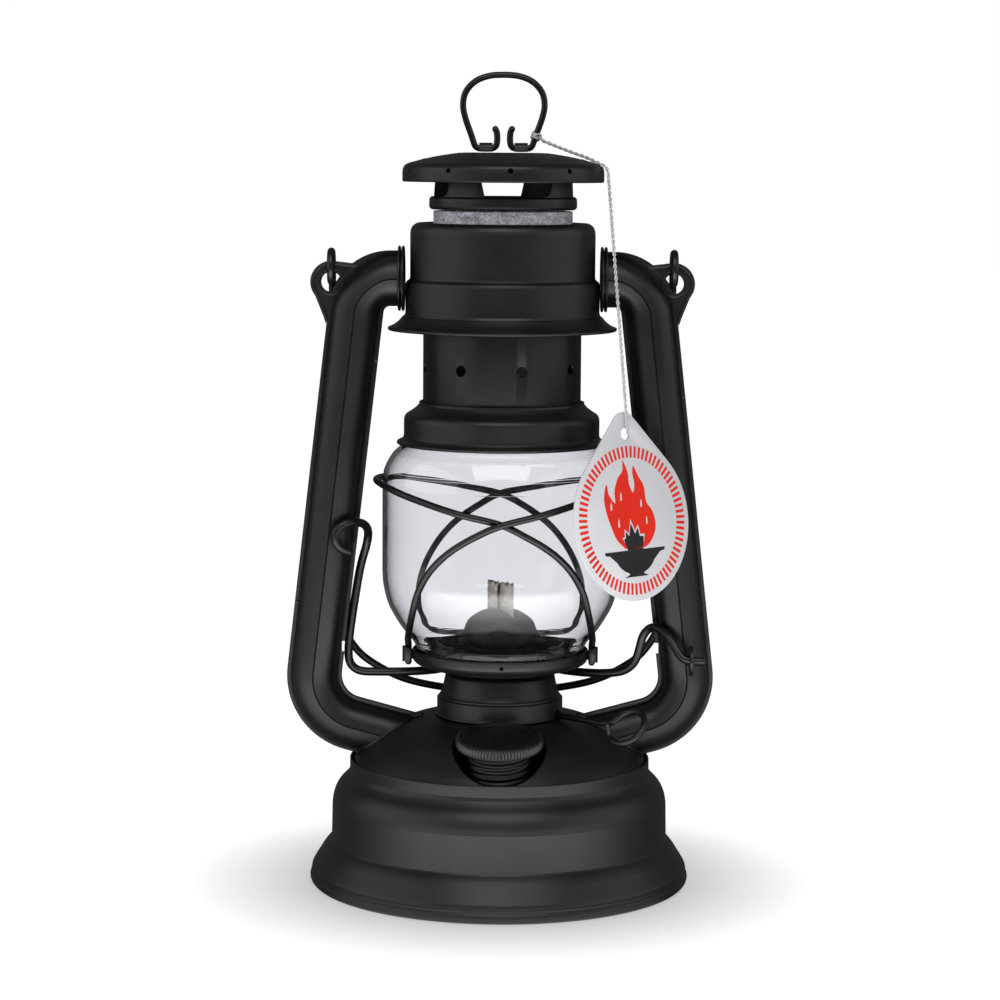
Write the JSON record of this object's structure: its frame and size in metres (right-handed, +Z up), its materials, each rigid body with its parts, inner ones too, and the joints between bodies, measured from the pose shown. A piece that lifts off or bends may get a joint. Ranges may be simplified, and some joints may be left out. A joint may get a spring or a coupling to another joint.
{
  "type": "barn lantern",
  "caption": "Small tubular barn lantern with a round tank, two hollow side tubes, a wire-guarded glass globe that lifts, a sprung chimney, a wick feed, a filler cap and a swinging bail.",
  "frame": {"origin": "on the lantern's axis, in the plane that the foot of the tank stands on", "axes": "+Z up, -Y to the side with the filler cap, +X towards the side tube with the thumb end of the lift wire"},
  "size_m": [0.15, 0.1334, 0.2835],
  "materials": {
    "black_steel": "satin black powder coat, finely grained",
    "black_wire": "smooth black lacquer on steel wire",
    "zinc": "galvanised sheet with a speckled grey bloom",
    "spring_steel": "plain spring wire",
    "brass": "plain rolled brass",
    "glass": "clear pressed glass",
    "cotton": "woven cotton, undyed",
    "cork": "pressed cork and rubber",
    "card": "coated card with red and black print",
    "string": "silvery elastic thread"
  },
  "bodies": {
    "frame": {"tank_pan": "black_steel", "tank_shell": "black_steel", "tank_dome": "black_steel", "tank_divider": "black_steel", "burner_ring": "black_steel", "filler_neck": "black_steel", "burner_body": "black_steel", "burner_plate": "black_steel", "wick_tube": "brass", "burner_cone": "black_steel", "left_tube_front": "black_steel", "left_tube_rear": "black_steel", "right_tube_front": "black_steel", "right_tube_rear": "black_steel", "left_tube_collar": "black_steel", "right_tube_collar": "black_steel", "hood": "black_steel", "hood_guide": "black_steel", "chimney_spring": "spring_steel"},
    "globe_carrier": {"lift_wire": "black_wire", "lift_thumb_disc": "black_steel", "globe_plate": "black_steel", "air_diffuser": "black_steel", "globe_glass": "glass", "globe_guard": "black_wire", "guard_rear_clip": "black_steel"},
    "chimney": {"chimney_bell": "black_steel", "chimney_tube": "black_steel", "chimney_sleeve": "zinc", "vent_crown": "black_steel", "chimney_cap": "black_steel", "left_ring_lug": "black_steel", "right_ring_lug": "black_steel", "hang_tag": "card", "tag_string": "string"},
    "cap_ring": {"cap_ring": "black_wire"},
    "bail": {"bail": "black_wire"},
    "filler_gasket": {"filler_gasket": "cork"},
    "filler_cap": {"filler_cap": "black_steel"},
    "wick": {"wick": "cotton"},
    "wick_shaft": {"wick_shaft": "black_wire", "wick_knob": "black_wire", "wick_wheel_1": "brass", "wick_wheel_2": "brass"}
  },
  "joints": [
    {"name": "bail_swing", "type": "hinge", "parent": "frame", "child": "bail", "pos_m": [0, 0, 0.2163], "axis": [1, 0, 0], "range_deg": [0, 285]},
    {"name": "globe_lift", "type": "slide", "parent": "frame", "child": "globe_carrier", "axis": [0, 0, 1], "range_m": [0, 0.0095]},
    {"name": "chimney_lift", "type": "slide", "parent": "globe_carrier", "child": "chimney", "axis": [0, 0, 1], "range_m": [0, 0.014], "deforming": ["chimney_spring"]},
    {"name": "ring_fold", "type": "hinge", "parent": "chimney", "child": "cap_ring", "pos_m": [0, 0, 0.2572], "axis": [1, 0, 0], "range_deg": [-85, 85]},
    {"name": "wick_turn", "type": "hinge", "parent": "frame", "child": "wick_shaft", "pos_m": [0.00514, 0.00532, 0.0606], "axis": [-0.7193, 0.6947, 0], "range_deg": [-110, 36]},
    {"name": "wick_raise", "type": "slide", "parent": "frame", "child": "wick", "axis": [0, 0, 1], "range_m": [-0.0118, 0.0038]},
    {"name": "cap_rise", "type": "slide", "parent": "frame", "child": "filler_gasket", "axis": [0, -0.1668, 0.986], "range_m": [0, 0.0035]},
    {"name": "cap_turn", "type": "hinge", "parent": "filler_gasket", "child": "filler_cap", "pos_m": [0, -0.038, 0.0589], "axis": [0, -0.1668, 0.986], "range_deg": [0, 540]}
  ],
  "couplings": [
    {"joint": "wick_turn", "follows": "wick_raise", "rad_per_m": 161.29},
    {"joint": "cap_rise", "follows": "cap_turn", "m_per_rad": 0.00036606}
  ]
}
